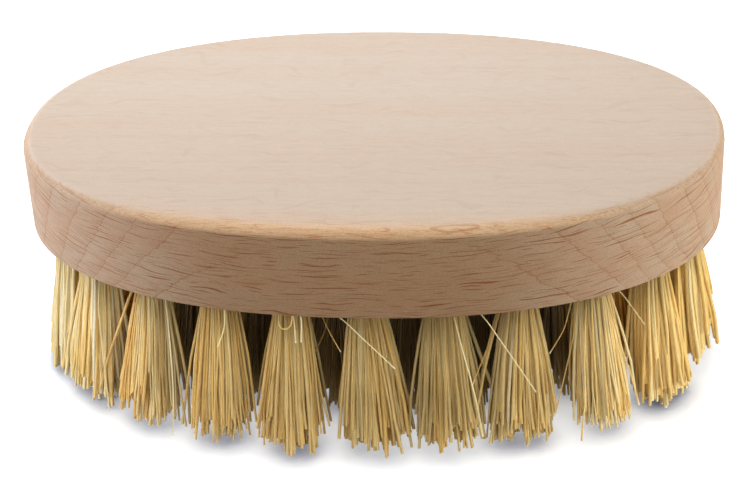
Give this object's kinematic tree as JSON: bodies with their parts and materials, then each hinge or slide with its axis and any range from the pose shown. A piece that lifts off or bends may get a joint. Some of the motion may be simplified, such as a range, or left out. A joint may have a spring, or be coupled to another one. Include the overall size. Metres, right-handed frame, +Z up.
{
  "type": "truffle brush",
  "caption": "Hand-held oval scrubbing brush: a flat beech back with leaning tufts of plant fibre set in drilled holes.",
  "frame": {"origin": "middle of the plane that the bristle tips stand on", "axes": "+X along the length of the back, +Z up from the bristle tips to the bare top face, +Y across the width, away from the picture's viewer"},
  "size_m": [0.13, 0.081, 0.0482],
  "materials": {
    "beech_wood": "fine-sanded raw beech, matt",
    "plant_fibre": "stiff natural fibre, slight sheen",
    "anchor_wire": "flat galvanised wire"
  },
  "bodies": {
    "root": {"wooden_back": "beech_wood", "tuft_outer_01": "plant_fibre", "tuft_outer_02": "plant_fibre", "tuft_outer_03": "plant_fibre", "tuft_outer_04": "plant_fibre", "tuft_outer_05": "plant_fibre", "tuft_outer_06": "plant_fibre", "tuft_outer_07": "plant_fibre", "tuft_outer_08": "plant_fibre", "tuft_outer_09": "plant_fibre", "tuft_outer_10": "plant_fibre", "tuft_outer_11": "plant_fibre", "tuft_outer_12": "plant_fibre", "tuft_outer_13": "plant_fibre", "tuft_outer_14": "plant_fibre", "tuft_outer_15": "plant_fibre", "tuft_outer_16": "plant_fibre", "tuft_outer_17": "plant_fibre", "tuft_outer_18": "plant_fibre", "tuft_outer_19": "plant_fibre", "tuft_outer_20": "plant_fibre", "tuft_outer_21": "plant_fibre", "tuft_outer_22": "plant_fibre", "tuft_middle_01": "plant_fibre", "tuft_middle_02": "plant_fibre", "tuft_middle_03": "plant_fibre", "tuft_middle_04": "plant_fibre", "tuft_middle_05": "plant_fibre", "tuft_middle_06": "plant_fibre", "tuft_middle_07": "plant_fibre", "tuft_middle_08": "plant_fibre", "tuft_middle_09": "plant_fibre", "tuft_middle_10": "plant_fibre", "tuft_middle_11": "plant_fibre", "tuft_middle_12": "plant_fibre", "tuft_middle_13": "plant_fibre", "tuft_middle_14": "plant_fibre", "tuft_middle_15": "plant_fibre", "tuft_middle_16": "plant_fibre", "tuft_inner_01": "plant_fibre", "tuft_inner_02": "plant_fibre", "tuft_inner_03": "plant_fibre", "tuft_inner_04": "plant_fibre", "tuft_inner_05": "plant_fibre", "tuft_inner_06": "plant_fibre", "tuft_inner_07": "plant_fibre", "tuft_inner_08": "plant_fibre", "tuft_inner_09": "plant_fibre", "tuft_inner_10": "plant_fibre"}
  },
  "joints": []
}
